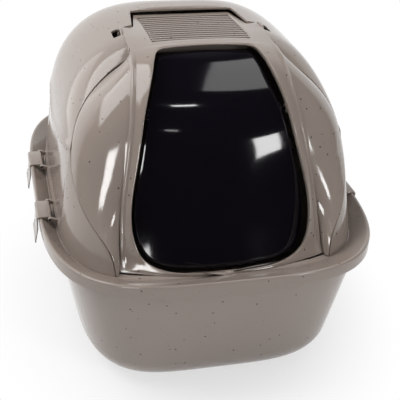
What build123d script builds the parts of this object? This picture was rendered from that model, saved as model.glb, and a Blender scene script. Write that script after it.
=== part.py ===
from build123d import *
import math
import os

os.makedirs("parts", exist_ok=True)

# Covered litter box, millimetres. Origin at bottom centre, front faces -Y, +Z up.

# rim of the pan
rim_width = 494.0
rim_length = 642.0
rim_top = 218.0
rim_power = 3.7
rim_wall = 3.0
rim_round = 2.0
skirt_depth = 18.0
lip_depth = 11.0
lip_flat = 75.0
lip_reach = 105.0

# tub of the pan
tub_inset = 21.0
tub_lean = 11.0
tub_corner = 68.0
tub_power = 4.35
tub_wall = 3.0

# seat of the hood in the pan
seat_height = 200.0
seat_plate = 3.0
seat_inside = 8.0
seat_gap = 1.0
upstand_height = 6.0
upstand_wall = 2.4
upstand_fit = 2.6

# hood shell: height above the seat, half width, front reach, rear reach
hood_wall = 3.0
hood_power = 4.0
hood_levels = [
    (0.0, 223.0, 274.0, 276.0),
    (31.0, 219.5, 267.0, 275.0),
    (59.0, 217.0, 259.0, 273.0),
    (85.0, 214.0, 249.0, 270.0),
    (121.0, 209.5, 235.0, 263.0),
    (154.0, 203.5, 204.0, 253.0),
    (171.0, 199.0, 184.0, 246.0),
    (184.0, 194.0, 163.0, 240.0),
    (203.0, 183.0, 127.0, 228.0),
    (230.0, 160.0, 92.0, 206.0),
    (245.0, 140.0, 76.0, 186.0),
    (257.0, 118.0, 60.0, 160.0),
    (266.0, 85.0, 40.0, 122.0),
]

# seam between lid and hood, seen from the side as (y, z)
seam_gap = 1.2
seam_low = [(-259.0, 194.0), (-246.0, 231.0), (-201.0, 276.0), (-151.0, 320.0)]
seam_high = [(-151.0, 320.0), (-124.0, 368.0), (-98.0, 402.0), (-70.0, 446.0)]

panel_wall = 3.0
panel_bulge = 0.17
panel_overlap = 4.0
panel_levels = [3.0, 14.0, 30.0, 52.0, 76.0, 100.0, 121.0, 141.0, 160.0, 178.0, 196.0, 214.0, 230.0, 243.0]

# lid hinge
hinge_y = 0.0
hinge_z = 454.0
barrel_radius = 9.0
barrel_inner = 88.0
barrel_outer = 104.5
pin_radius = 3.0
pin_fit = 0.1
pin_head = 2.0
pin_head_radius = 4.5
tab_wall = 3.5
tab_gap = 0.8
lid_edge_gap = 1.5
pocket_width = 11.0
pocket_length = 22.0
tab_length = 26.0
tab_depth = 14.0
lip_width = 12.0
overall_height = 470.0

# frame of the lid: ridge point and opening point, each (x, y, z), and depth of the side wall
frame_wall = 3.0
opening_lip = 10.0
frame_stations = [
    ((103.5, 0.0, 463.0), (80.0, 0.0, 463.4), 16.0),
    ((104.0, -40.0, 463.0), (78.0, -40.0, 465.4), 18.0),
    ((105.0, -75.0, 460.0), (77.0, -80.0, 466.2), 22.0),
    ((109.0, -106.0, 453.0), (77.0, -112.0, 462.0), 24.0),
    ((114.0, -134.0, 437.0), (86.0, -146.0, 441.5), 24.0),
    ((118.0, -156.0, 413.0), (96.0, -170.0, 418.0), 24.0),
    ((121.5, -174.0, 384.0), (105.0, -188.0, 387.0), 24.0),
    ((128.0, -190.0, 349.0), (114.0, -202.0, 351.0), 20.0),
    ((134.0, -201.0, 316.0), (121.0, -213.0, 317.0), 18.0),
    ((140.0, -215.0, 266.0), (127.0, -231.0, 268.0), 16.0),
    ((143.5, -225.0, 241.0), (124.0, -241.0, 243.0), 16.0),
    ((146.0, -237.0, 219.0), (112.0, -251.0, 221.0), 16.0),
    ((148.0, -247.0, 201.5), (96.0, -262.0, 203.5), 14.0),
]

# roof plate, tongue and vent of the lid
roof_profile = [(-122.0, 459.5), (-100.0, 464.5), (-72.0, 467.0), (0.0, 463.4), (76.0, 459.6)]
roof_half = 80.0
roof_wall = 3.0
tongue_front_half = 86.5
tongue_rear_half = 76.0
tongue_gap = 2.0
tongue_start = 6.0
slot_count = 13
slot_pitch = 10.6
slot_width = 4.6
slot_half = 72.5
slot_centre_y = -4.0

# door opening, drawn on a plane that leans back
opening_origin = (0.0, -185.0, 333.0)
opening_normal = (0.0, -0.865, 0.5)
opening_top = 162.0
opening_top_corner = (70.0, 153.0)
opening_upper = (88.0, 108.0)
opening_middle = (112.0, 26.0)
opening_widest = (127.0, -71.0)
opening_lower = (110.0, -128.0)
opening_bottom = -157.5

# sill under the opening
sill_front = 277.0
sill_side = 247.0
sill_half = 148.0
sill_height = 34.0
sill_lean = 14.0
sill_lift = 1.2

# swing door
door_gap = 6.5
door_wall = 2.5
door_pivot_y = -155.0
door_pivot_z = 390.0
door_stub_radius = 3.0
door_ear_radius = 7.0
door_ear_wall = 3.5
door_ear_x = 95.0
door_arm_length = 10.0
door_stub_end = 111.5
boss_radius = 7.5
boss_inner = 103.5
boss_outer = 114.0
# side profile of the door edge as (y, z), and how far its middle bulges forward there
door_profile = [
    (-92.0, 455.0, 0.0),
    (-112.0, 443.0, 2.0),
    (-135.0, 424.0, 5.0),
    (-155.0, 402.0, 8.0),
    (-170.0, 380.0, 10.0),
    (-182.0, 355.0, 12.0),
    (-192.0, 325.0, 14.0),
    (-203.0, 285.0, 17.0),
    (-214.0, 248.0, 20.0),
    (-228.0, 212.0, 24.0),
    (-238.0, 190.0, 26.0),
]
door_half = 125.0

# filter under the vent
filter_length = 118.0
filter_width = 134.0
filter_thick = 6.0
filter_gap = 0.6
cover_wall = 2.0
cover_flange = 5.0
cover_slots = 9
cover_slot_pitch = 12.0
cover_slot_width = 6.0

# rim clips
clip_y = 87.0
clip_width = 50.0
clip_wall = 3.0
clip_pivot_x = 230.0
clip_pivot_z = 217.0
clip_barrel = 4.2
clip_pin = 1.8
clip_rim_gap = 0.8
clip_drop = 44.0
clip_flare = 6.0
clip_bevel = 1.5
lug_width = 5.0
lug_gap = 0.6
lug_root = 12.0

far = 700.0


def plan_points(half_width, front, rear, power, count=32):
    """Points of a rounded rectangle whose front and rear halves may differ."""
    points = []
    for i in range(count):
        turn = 2 * math.pi * i / count
        c, s = math.cos(turn), math.sin(turn)
        size = (abs(c) ** power + abs(s) ** power) ** (-1 / power)
        points.append((half_width * size * c, (rear if s > 0 else front) * size * s))
    return points


def ring(z, half_width, front, rear, power):
    """Closed horizontal outline at height z."""
    with BuildSketch(Plane.XY.offset(z)) as sketch:
        with BuildLine():
            Spline(*plan_points(half_width, front, rear, power), periodic=True)
        make_face()
    return sketch.sketch


def rim_ring(z, inset=0.0):
    return ring(z, rim_width / 2 - inset, rim_length / 2 - inset, rim_length / 2 - inset, rim_power)


def hood_ring(z, inset=0.0):
    base = hood_levels[0]
    return ring(z, base[1] - inset, base[2] - inset, base[3] - inset, hood_power)


def tub_ring(z, shrink):
    return ring(z, rim_width / 2 - shrink, rim_length / 2 - shrink, rim_length / 2 - shrink, tub_power)


def tub(inset, lift):
    """Solid of the tub: quarter-round corner from the floor up, then a straight flared wall."""
    top = rim_top - seat_plate * 2
    lean = math.radians(tub_lean)
    wall_foot = tub_corner * (1 - math.sin(lean))
    centre = tub_inset + math.tan(lean) * (seat_height - wall_foot) + tub_corner * math.cos(lean) + inset
    rings = []
    for step in range(6):
        k = math.radians(90) + (lean - math.radians(90)) * step / 5
        rings.append(tub_ring(tub_corner * (1 - math.sin(k)) + lift, centre - tub_corner * math.cos(k)))
    with BuildPart() as solid:
        loft(sections=rings)
        above = math.tan(lean) * (top - seat_height)
        loft(sections=[rings[-1], tub_ring(top + lift, tub_inset + inset - above)], ruled=True)
    return solid.part


# litter pan
with BuildPart() as slope_above:
    loft(sections=[hood_ring(seat_height, -seat_gap), rim_ring(rim_top, rim_wall)], ruled=True)

with BuildPart() as slope_plate:
    loft(sections=[hood_ring(seat_height - seat_plate, -seat_gap),
                   rim_ring(rim_top - seat_plate, rim_wall)], ruled=True)

lip_bottom = rim_top - skirt_depth - lip_depth
skirt_bottom = rim_top - skirt_depth
with BuildPart() as under_slope:
    extrude(to_extrude=rim_ring(lip_bottom, rim_wall), amount=rim_top - seat_plate - lip_bottom)
    add(slope_plate.part, mode=Mode.SUBTRACT)

with BuildPart() as rim:
    extrude(to_extrude=rim_ring(lip_bottom), amount=rim_top - lip_bottom)
    fillet(rim.faces().sort_by(Axis.Z)[-1].edges(), rim_round)
    add(slope_above.part, mode=Mode.SUBTRACT)
    add(under_slope.part, mode=Mode.SUBTRACT)
    extrude(to_extrude=hood_ring(lip_bottom, seat_inside), amount=rim_top, mode=Mode.SUBTRACT)
    # the skirt is shallow all round but for a wave lip in the middle of the front
    with BuildSketch(Plane.XZ) as wave:
        with BuildLine():
            Polyline((-lip_reach, skirt_bottom), (-far, skirt_bottom), (-far, 0), (far, 0),
                     (far, skirt_bottom), (lip_reach, skirt_bottom))
            Spline((lip_reach, skirt_bottom), (lip_flat, lip_bottom), tangents=((-1, 0), (-1, 0)))
            Line((lip_flat, lip_bottom), (-lip_flat, lip_bottom))
            Spline((-lip_flat, lip_bottom), (-lip_reach, skirt_bottom), tangents=((-1, 0), (-1, 0)))
        make_face()
    extrude(to_extrude=wave.sketch, amount=far, mode=Mode.SUBTRACT)
    with BuildSketch(Plane.XZ) as rear:
        Rectangle(2 * far, 2 * skirt_bottom)
    extrude(to_extrude=rear.sketch, amount=-far, mode=Mode.SUBTRACT)

with BuildPart() as litter_pan:
    add(tub(0.0, 0.0))
    add(tub(tub_wall, tub_wall), mode=Mode.SUBTRACT)
    add(slope_above.part, mode=Mode.SUBTRACT)
    add(rim.part)
    # upstand inside the hood edge
    extrude(to_extrude=hood_ring(seat_height - seat_plate / 2, hood_wall + upstand_fit),
            amount=upstand_height + seat_plate / 2)
    extrude(to_extrude=hood_ring(seat_height - seat_plate, hood_wall + upstand_fit + upstand_wall),
            amount=far, mode=Mode.SUBTRACT)
    # no upstand where the lid closes
    with BuildSketch(Plane.XY.offset(seat_height)) as lid_span:
        with Locations((0, seam_low[-1][0])):
            Rectangle(2 * (rim_width / 2 - tub_inset), far, align=(Align.CENTER, Align.MAX))
        add(hood_ring(seat_height, hood_wall + upstand_fit - upstand_wall / 2).face(),
            mode=Mode.INTERSECT)
    extrude(to_extrude=lid_span.sketch, amount=upstand_height, mode=Mode.SUBTRACT)
litter_pan.part.label = "litter_pan"
export_step(litter_pan.part, "parts/litter_pan.step")


def dome(inset, drop):
    """Solid inside the hood surface, drawn in by inset and lowered by drop."""
    levels = [(seat_height + height - drop, half - inset, front - inset, back - inset)
              for height, half, front, back in hood_levels]
    with BuildPart() as solid:
        loft(sections=[ring(*level, hood_power) for level in levels])
    return solid.part


def side_prism(points_low, points_high, shift, reach=far):
    """Everything in front of the seam, as a prism across the whole width."""
    low = [(y + shift, z) for y, z in points_low]
    high = [(y + shift, z) for y, z in points_high]
    with BuildSketch(Plane.YZ) as sketch:
        with BuildLine():
            Spline(*low)
            Spline(*high)
            Polyline(high[-1], (high[-1][0], reach), (-reach, reach), (-reach, low[0][1]), low[0])
        make_face()
    with BuildPart() as solid:
        extrude(to_extrude=sketch.sketch, amount=reach, both=True)
    return solid.part


# shell between outer and inner surface of the dome
dome_solid = dome(0.0, 0.0)
dome_hollow = dome(hood_wall, hood_wall)
with BuildPart() as dome_shell:
    add(dome_solid)
    add(dome_hollow, mode=Mode.SUBTRACT)

def disc(plane, start, end, radius):
    """Round bar along a plane's normal between two distances from the plane."""
    with BuildPart() as solid:
        with BuildSketch(plane.offset(min(start, end))):
            Circle(radius)
        extrude(amount=abs(end - start))
    return solid.part


hinge_line = Plane(origin=(0, hinge_y, hinge_z), x_dir=(0, 1, 0), z_dir=(1, 0, 0))
roof_cut_rear = roof_profile[-1][0] + tongue_gap
tab_inner = barrel_outer + tab_gap
tab_outer = tab_inner + tab_wall


def roof_cut():
    """Cut-out of the roof: wide in front of the hinge, narrow behind it for the tongue."""
    step = hinge_y + barrel_radius + lid_edge_gap
    right = [(tab_inner, -far), (tab_inner, step), (tongue_front_half + tongue_gap, step),
             (tongue_rear_half + tongue_gap, roof_cut_rear)]
    with BuildPart() as solid:
        with BuildSketch(Plane.XY.offset(hinge_z - 2 * tab_depth)):
            with BuildLine():
                Polyline(*right, *[(-x, y) for x, y in reversed(right)], close=True)
            make_face()
        extrude(amount=far)
    return solid.part


def hinge_tab(side):
    """Upright tab of the hood beside the lid barrel, trimmed to the hood's outer surface."""
    with BuildPart() as solid:
        with Locations((side * (tab_inner + tab_wall / 2), hinge_y, hinge_z - tab_depth)):
            Box(tab_wall, tab_length, 2 * tab_depth, align=(Align.CENTER, Align.CENTER, Align.MIN))
        add(dome_solid, mode=Mode.INTERSECT)
    return solid.part


def lug_pair(side, end):
    """Two lugs on the hood that hold the pin of one clip."""
    with BuildPart() as solid:
        for edge in (-1, 1):
            y = end * clip_y + edge * (clip_width / 2 + lug_gap + lug_width / 2)
            lug_line = Plane(origin=(side * clip_pivot_x, y - lug_width / 2, clip_pivot_z),
                             x_dir=(1, 0, 0), z_dir=(0, 1, 0))
            with BuildSketch(lug_line) as profile:
                Circle(clip_barrel)
                with Locations((-side * lug_root / 2, 0)):
                    Rectangle(lug_root, 2 * clip_barrel)
            extrude(to_extrude=profile.sketch, amount=lug_width)
        add(dome_hollow, mode=Mode.SUBTRACT)
        add(clip_bore(side, end, clip_pin), mode=Mode.SUBTRACT)
    return solid.part


def clip_bore(side, end, radius, extra=1.0):
    half = clip_width / 2 + lug_gap + lug_width + extra
    line = Plane(origin=(side * clip_pivot_x, end * clip_y, clip_pivot_z),
                 x_dir=(1, 0, 0), z_dir=(0, 1, 0))
    return disc(line, -half, half, radius)


with BuildPart() as hood:
    add(dome_shell.part)
    add(side_prism(seam_low, seam_high, seam_gap / 2), mode=Mode.SUBTRACT)
    add(roof_cut(), mode=Mode.SUBTRACT)
    for side in (1, -1):
        # pocket outside the tab, then the tab itself
        with Locations((side * (tab_outer + pocket_width / 2), hinge_y, hinge_z)):
            Box(pocket_width, pocket_length, 2 * tab_depth, mode=Mode.SUBTRACT)
        add(hinge_tab(side))
        add(disc(hinge_line, side * (tab_inner - 1), side * (tab_outer + 1), pin_radius),
            mode=Mode.SUBTRACT)
        for end in (1, -1):
            add(lug_pair(side, end))
    # low rounded lip behind the tongue
    with BuildSketch(Plane.YZ) as lip:
        with BuildLine():
            foot = seat_height + hood_levels[-1][0] - hood_wall
            start = roof_cut_rear
            ThreePointArc((start, foot), (start + lip_width / 2, overall_height), (start + lip_width, foot))
            Line((start + lip_width, foot), (start, foot))
        make_face()
    extrude(to_extrude=lip.sketch, amount=tongue_rear_half, both=True)
hood.part.label = "hood"
export_step(hood.part, "parts/hood.step")


def vec(a, b):
    return Vector(*b) - Vector(*a)


def frame_section(ridge, edge, depth, along):
    """Section of the lid frame: side wall at the ridge and band to the opening."""
    across_dir = vec(ridge, edge)
    length = across_dir.length
    plane = Plane(origin=ridge, x_dir=across_dir, z_dir=across_dir.cross(along.cross(across_dir)))
    with BuildSketch(plane) as sketch:
        with BuildLine():
            Polyline((0, 0), (length, 0), (length, frame_wall), (frame_wall, frame_wall),
                     (frame_wall, depth), (0, depth), close=True)
        make_face()
    return sketch.sketch


def frame_side():
    """Right side of the frame from the hinge down to the sill."""
    sections = []
    last = len(frame_stations) - 1
    for i, (ridge, edge, depth) in enumerate(frame_stations):
        along = vec(frame_stations[max(i - 1, 0)][0], frame_stations[min(i + 1, last)][0])
        sections.append(frame_section(ridge, edge, depth, along))
    with BuildPart() as solid:
        loft(sections=sections, ruled=True)
    return solid.part


def opening_outline(shrink):
    """Rounded outline of the door opening on its leaning plane, drawn in by shrink."""
    right = [opening_top_corner, opening_upper, opening_middle, opening_widest, opening_lower]
    right = [(x - shrink, v - shrink * v / opening_top) for x, v in right]
    top = (0, opening_top - shrink)
    low = (0, opening_bottom + shrink)
    left = [(-x, v) for x, v in reversed(right)]
    with BuildSketch(Plane(origin=opening_origin, x_dir=(1, 0, 0), z_dir=opening_normal)) as sketch:
        with BuildLine():
            ThreePointArc(left[-1], top, right[0])
            Spline(*right, low, *left)
        make_face()
    return sketch.sketch


def lean_prism(sketch, reach=150.0):
    with BuildPart() as solid:
        extrude(to_extrude=sketch, amount=reach, both=True)
    return solid.part


def opening_collar():
    """Collar that turns inward all round the opening."""
    edge = [(roof_profile[3][0], roof_profile[3][1])] + [(e[1], e[2]) for r, e, d in frame_stations[2:]]
    edge.append((-sill_front - frame_wall, edge[-1][1]))
    back = Vector(*opening_normal) * -opening_lip
    inner = [(y + back.Y, z + back.Z) for y, z in edge]
    with BuildPart() as solid:
        with BuildSketch(Plane.YZ):
            with BuildLine():
                Polyline(*edge, *reversed(inner), close=True)
            make_face()
        extrude(amount=far, both=True)
        add(lean_prism(opening_outline(-frame_wall)), mode=Mode.INTERSECT)
    return solid.part


def roof_plate():
    """Roof of the lid from the opening over the hinge to the end of the tongue."""
    with BuildSketch(Plane.YZ) as side:
        with BuildLine():
            Spline(*roof_profile)
            lower = [(y, z - roof_wall) for y, z in roof_profile]
            Line(roof_profile[-1], lower[-1])
            Spline(*reversed(lower))
            Line(lower[0], roof_profile[0])
        make_face()
    with BuildSketch(Plane.XY) as plan:
        half = [(roof_half, -far), (roof_half, hinge_y), (tongue_front_half, hinge_y + tongue_start),
                (tongue_rear_half, roof_profile[-1][0])]
        with BuildLine():
            Polyline(*half, *[(-x, y) for x, y in reversed(half)], close=True)
        make_face()
    with BuildPart() as solid:
        extrude(to_extrude=side.sketch, amount=far, both=True)
        extrude(to_extrude=plan.sketch, amount=far, mode=Mode.INTERSECT)
        with BuildSketch(Plane.XY) as slots:
            with Locations((0, slot_centre_y)):
                with GridLocations(0, slot_pitch, 1, slot_count):
                    SlotOverall(2 * slot_half, slot_width)
        extrude(to_extrude=slots.sketch, amount=far, mode=Mode.SUBTRACT)
    return solid.part


def roof_underside():
    """Everything below the roof plate of the lid."""
    lower = [(y, z - roof_wall) for y, z in roof_profile]
    with BuildPart() as solid:
        with BuildSketch(Plane.YZ):
            with BuildLine():
                Spline(*lower)
                Polyline(lower[-1], (lower[-1][0], 0), (lower[0][0], 0), lower[0])
            make_face()
        extrude(amount=far, both=True)
    return solid.part


def sill():
    """Bowed wall under the opening, leaning back as it rises."""
    def band(z, back):
        with BuildSketch(Plane.XY.offset(z)) as sketch:
            with BuildLine():
                ThreePointArc((-sill_half, back - sill_side), (0, back - sill_front),
                              (sill_half, back - sill_side))
                Line((sill_half, back - sill_side), (sill_half, back - sill_side + frame_wall))
                ThreePointArc((sill_half, back - sill_side + frame_wall),
                              (0, back - sill_front + frame_wall),
                              (-sill_half, back - sill_side + frame_wall))
                Line((-sill_half, back - sill_side + frame_wall), (-sill_half, back - sill_side))
            make_face()
        return sketch.sketch
    foot = seat_height + sill_lift
    with BuildPart() as solid:
        loft(sections=[band(foot, 0.0), band(foot + sill_height, sill_lean)], ruled=True)
    return solid.part


def blend(table, at, column):
    """Straight interpolation in a table that is sorted by its first column."""
    for low, high in zip(table, table[1:]):
        if at <= high[0]:
            share = (at - low[0]) / (high[0] - low[0])
            return low[column] + share * (high[column] - low[column])
    return table[-1][column]


ridge_line = sorted((ridge[2], ridge[0], ridge[1]) for ridge, edge, depth in frame_stations[2:])
seam_line = sorted((z, y) for y, z in seam_low + seam_high[1:])


def panel_section(height):
    """Horizontal crescent from the ridge to the seam at a height above the seat."""
    z = seat_height + height
    ridge = Vector(blend(ridge_line, z, 1) - frame_wall / 2, blend(ridge_line, z, 2) + frame_wall / 2)
    y = blend(seam_line, z, 1) + panel_overlap
    half, front = blend(hood_levels, height, 1), blend(hood_levels, height, 2)
    seam = Vector(half * (1 - (-y / front) ** hood_power) ** (1 / hood_power), y)
    chord = seam - ridge
    out = Vector(chord.Y, -chord.X).normalized()
    middle = (ridge + seam) / 2 + out * chord.length * panel_bulge
    inner = [p - out * panel_wall for p in (ridge, middle, seam)]
    with BuildSketch(Plane.XY.offset(z)) as sketch:
        with BuildLine():
            ThreePointArc(ridge, middle, seam)
            Line(seam, inner[2])
            ThreePointArc(inner[2], inner[1], inner[0])
            Line(inner[0], ridge)
        make_face()
    return sketch.sketch


def quarter_panel():
    with BuildPart() as solid:
        loft(sections=[panel_section(height) for height in panel_levels])
        add(side_prism(seam_low, seam_high, -seam_gap / 2), mode=Mode.INTERSECT)
    return solid.part


door_pivot = Plane(origin=(0, door_pivot_y, door_pivot_z), x_dir=(0, 1, 0), z_dir=(1, 0, 0))

with BuildPart() as front_lid:
    for half in (frame_side(), quarter_panel()):
        add(half)
        add(mirror(half, about=Plane.YZ, mode=Mode.PRIVATE))
    add(roof_plate())
    add(sill())
    add(opening_collar())
    add(lean_prism(opening_outline(0.0)), mode=Mode.SUBTRACT)
    with Locations((0, 0, seat_height + sill_lift)):
        Box(far, 2 * far, far, align=(Align.CENTER, Align.CENTER, Align.MAX), mode=Mode.SUBTRACT)
    for side in (1, -1):
        add(disc(hinge_line, side * barrel_inner, side * (barrel_outer - tab_gap), barrel_radius))
        add(disc(hinge_line, side * barrel_inner, side * (barrel_outer + 1), pin_radius + pin_fit),
            mode=Mode.SUBTRACT)
        add(disc(door_pivot, side * boss_inner, side * boss_outer, boss_radius))
        add(disc(door_pivot, side * door_ear_x, side * door_stub_end, door_stub_radius + pin_fit),
            mode=Mode.SUBTRACT)
front_lid.part.label = "front_lid"
export_step(front_lid.part, "parts/front_lid.step")


def door_section(x):
    """Side profile of the door panel at distance x from the middle."""
    bulge = 1 - (x / opening_widest[0]) ** 2
    n = Vector(*opening_normal)
    outer = [(y + n.Y * rise * bulge, z + n.Z * rise * bulge) for y, z, rise in door_profile]
    inner = [(y - n.Y * door_wall, z - n.Z * door_wall) for y, z in outer]
    with BuildSketch(Plane.YZ.offset(x)) as sketch:
        with BuildLine():
            Spline(*outer)
            Line(outer[-1], inner[-1])
            Spline(*reversed(inner))
            Line(inner[0], outer[0])
        make_face()
    return sketch.sketch


def door_arm(side):
    """Flat arm from the ear forward to the panel."""
    lean = Plane(origin=(side * (door_ear_x - door_ear_wall / 2), door_pivot_y, door_pivot_z),
                 x_dir=(1, 0, 0), z_dir=opening_normal)
    with BuildPart() as solid:
        with BuildSketch(lean):
            Rectangle(door_ear_wall, 2 * door_ear_radius)
        extrude(amount=door_arm_length)
    return solid.part


with BuildPart() as swing_door:
    loft(sections=[door_section(door_half * k / 2) for k in (-2, -1, 0, 1, 2)])
    add(lean_prism(opening_outline(door_gap)), mode=Mode.INTERSECT)
    for side in (1, -1):
        ear = side * door_ear_x
        add(disc(door_pivot, ear - side * door_ear_wall, ear, door_ear_radius))
        add(door_arm(side))
        add(disc(door_pivot, ear - side * door_ear_wall, side * (door_stub_end - 0.5), door_stub_radius))
swing_door.part.label = "swing_door"
export_step(swing_door.part, "parts/swing_door.step")


side_names = {1: "right", -1: "left"}
end_names = {1: "rear", -1: "front"}

# hinge pins of the lid, pressed into the tabs and running in the barrels
for side in (1, -1):
    with BuildPart() as lid_pin:
        add(disc(hinge_line, side * (barrel_inner + 1), side * (tab_outer + pin_head), pin_radius))
        add(disc(hinge_line, side * tab_outer, side * (tab_outer + pin_head), pin_head_radius))
    name = "lid_pin_" + side_names[side]
    lid_pin.part.label = name
    export_step(lid_pin.part, "parts/" + name + ".step")


def clip_blank(side, end):
    """Rim clip without its bore: barrel, bridge over the rim, outer wall that flares at its foot."""
    x0, z0 = clip_pivot_x, clip_pivot_z
    wall_x = rim_width / 2 + clip_rim_gap
    over = rim_top + clip_rim_gap
    foot = rim_top - clip_drop
    points = [(x0, over + clip_wall), (wall_x + clip_wall - clip_bevel, over + clip_wall),
              (wall_x + clip_wall, over + clip_wall - clip_bevel),
              (wall_x + clip_wall, rim_top - skirt_depth),
              (wall_x + clip_wall + clip_flare, foot), (wall_x + clip_flare, foot),
              (wall_x, rim_top - skirt_depth), (wall_x, over), (x0, over)]
    line = Plane(origin=(0, end * clip_y, 0), x_dir=(1, 0, 0), z_dir=(0, 1, 0))
    with BuildPart() as solid:
        with BuildSketch(line):
            with BuildLine():
                Polyline(*[(side * x, -z) for x, z in points], close=True)
            make_face()
            with Locations((side * x0, -z0)):
                Circle(clip_barrel)
        extrude(amount=clip_width / 2, both=True)
    return solid.part


for side in (1, -1):
    for end in (1, -1):
        place = end_names[end] + "_" + side_names[side]
        with BuildPart() as rim_clip:
            add(clip_blank(side, end))
            add(clip_bore(side, end, clip_pin + pin_fit), mode=Mode.SUBTRACT)
        rim_clip.part.label = "clip_" + place
        export_step(rim_clip.part, "parts/clip_" + place + ".step")
        with BuildPart() as clip_pin_part:
            add(clip_bore(side, end, clip_pin, extra=0.0))
        clip_pin_part.part.label = "clip_pin_" + place
        export_step(clip_pin_part.part, "parts/clip_pin_" + place + ".step")


# charcoal pad and the slotted tray that holds it under the vent
roof_under = roof_profile[-1][1] - roof_wall
pad_top = roof_under - filter_gap
pad_bottom = pad_top - filter_thick
with BuildPart() as charcoal_filter:
    with Locations((0, slot_centre_y, pad_bottom)):
        Box(filter_width, filter_length, filter_thick, align=(Align.CENTER, Align.CENTER, Align.MIN))
    fillet(charcoal_filter.edges().filter_by(Axis.Z), cover_flange)
charcoal_filter.part.label = "charcoal_filter"
export_step(charcoal_filter.part, "parts/charcoal_filter.step")

with BuildPart() as filter_cover:
    inner_width = filter_width + 2 * filter_gap
    inner_length = filter_length + 2 * filter_gap
    with Locations((0, slot_centre_y, pad_bottom - cover_wall)):
        Box(inner_width + 2 * cover_wall, inner_length + 2 * cover_wall,
            far, align=(Align.CENTER, Align.CENTER, Align.MIN))
    with Locations((0, slot_centre_y, pad_bottom)):
        Box(inner_width, inner_length, far, align=(Align.CENTER, Align.CENTER, Align.MIN),
            mode=Mode.SUBTRACT)
    with Locations((0, slot_centre_y, 0)):
        with GridLocations(0, cover_slot_pitch, 1, cover_slots):
            Box(filter_width - 2 * cover_flange, cover_slot_width, far, mode=Mode.SUBTRACT)
    # walls reach up to the underside of the roof plate
    add(roof_underside(), mode=Mode.INTERSECT)
filter_cover.part.label = "filter_cover"
export_step(filter_cover.part, "parts/filter_cover.step")
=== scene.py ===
import math

import bmesh
import bpy
import numpy as np
from mathutils import Matrix, Vector


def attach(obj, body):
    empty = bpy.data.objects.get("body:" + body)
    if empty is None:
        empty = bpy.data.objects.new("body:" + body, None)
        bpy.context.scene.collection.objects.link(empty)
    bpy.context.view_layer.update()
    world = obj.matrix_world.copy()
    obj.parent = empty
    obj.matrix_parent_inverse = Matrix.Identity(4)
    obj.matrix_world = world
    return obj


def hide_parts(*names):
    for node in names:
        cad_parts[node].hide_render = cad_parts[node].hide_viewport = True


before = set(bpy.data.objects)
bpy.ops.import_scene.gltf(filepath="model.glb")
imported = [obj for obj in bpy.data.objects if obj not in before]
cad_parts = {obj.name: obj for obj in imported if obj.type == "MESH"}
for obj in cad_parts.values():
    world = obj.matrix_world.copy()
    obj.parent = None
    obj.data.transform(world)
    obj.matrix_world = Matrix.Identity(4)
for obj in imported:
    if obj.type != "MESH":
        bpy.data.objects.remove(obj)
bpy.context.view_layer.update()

mm = 0.001
across = np.array([1.0, 0.0, 0.0])


# shader and geometry nodes

def feed(tree, socket, value):
    if isinstance(value, Wire):
        tree.links.new(value.socket, socket)
    else:
        socket.default_value = value


class Wire:
    def __init__(self, tree, socket):
        self.tree = tree
        self.socket = socket

    def math(self, operation, other):
        node = self.tree.nodes.new("ShaderNodeMath")
        node.operation = operation
        for slot, value in zip(node.inputs, (self, other)):
            feed(self.tree, slot, value)
        return Wire(self.tree, node.outputs[0])

    def __add__(self, other): return self.math("ADD", other)
    def __mul__(self, other): return self.math("MULTIPLY", other)
    def __truediv__(self, other): return self.math("DIVIDE", other)
    def __lt__(self, other): return self.math("LESS_THAN", other)


class Recipe:
    # one node tree and the material, world or node group that it belongs to
    def __init__(self, data):
        self.data = data
        self.tree = data
        if not isinstance(data, bpy.types.NodeTree):
            data.use_nodes = True
            self.tree = data.node_tree
        self.tree.nodes.clear()

    # slots feed inputs by number, values by name
    def node(self, kind, settings=None, out=0, slots=None, **values):
        made = self.tree.nodes.new(kind)
        for key, value in (settings or {}).items():
            setattr(made, key, value)
        for index, value in (slots or {}).items():
            feed(self.tree, made.inputs[index], value)
        for key, value in values.items():
            name = key.replace("_", " ")
            feed(self.tree, next(s for s in made.inputs if s.name == name and s.enabled), value)
        return Wire(self.tree, made.outputs[out])

    def mix(self, factor, first, second):
        return self.node("ShaderNodeMix", {"data_type": "RGBA"}, 2, {0: factor, 6: first, 7: second})

    def finish(self, surface):
        kind = "World" if isinstance(self.data, bpy.types.World) else "Material"
        output = self.tree.nodes.new("ShaderNodeOutput" + kind)
        self.tree.links.new(surface.socket, output.inputs["Surface"])
        return self.data


def rgb(red, green, blue):
    def linear(c):
        c = c / 255
        return c / 12.92 if c <= 0.04045 else ((c + 0.055) / 1.055) ** 2.4
    return (linear(red), linear(green), linear(blue), 1.0)


# glossy recycled plastic with fine dark specks
taupePlastic = {
    "base": rgb(148, 136, 127), "pale": rgb(153, 141, 132), "cloudScale": 14.0,
    "speck": rgb(66, 56, 50), "speckScale": 62.0, "speckSize": 0.1, "speckShare": 0.85,
    # the dust is a finer field of specks
    "dustScale": 117.8, "dustSize": 0.08725, "dustShare": 0.5, "deepest": 0.9,
    # the wobble makes the edges of the specks uneven
    "wobbleScale": 900.0, "wobble": 0.03,
    "roughness": 0.08, "roughnessSpread": 0.05,
    "grainScale": 420.0, "grainHeight": 0.00002, "grainStrength": 0.35, "ior": 1.5,
}


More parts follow.
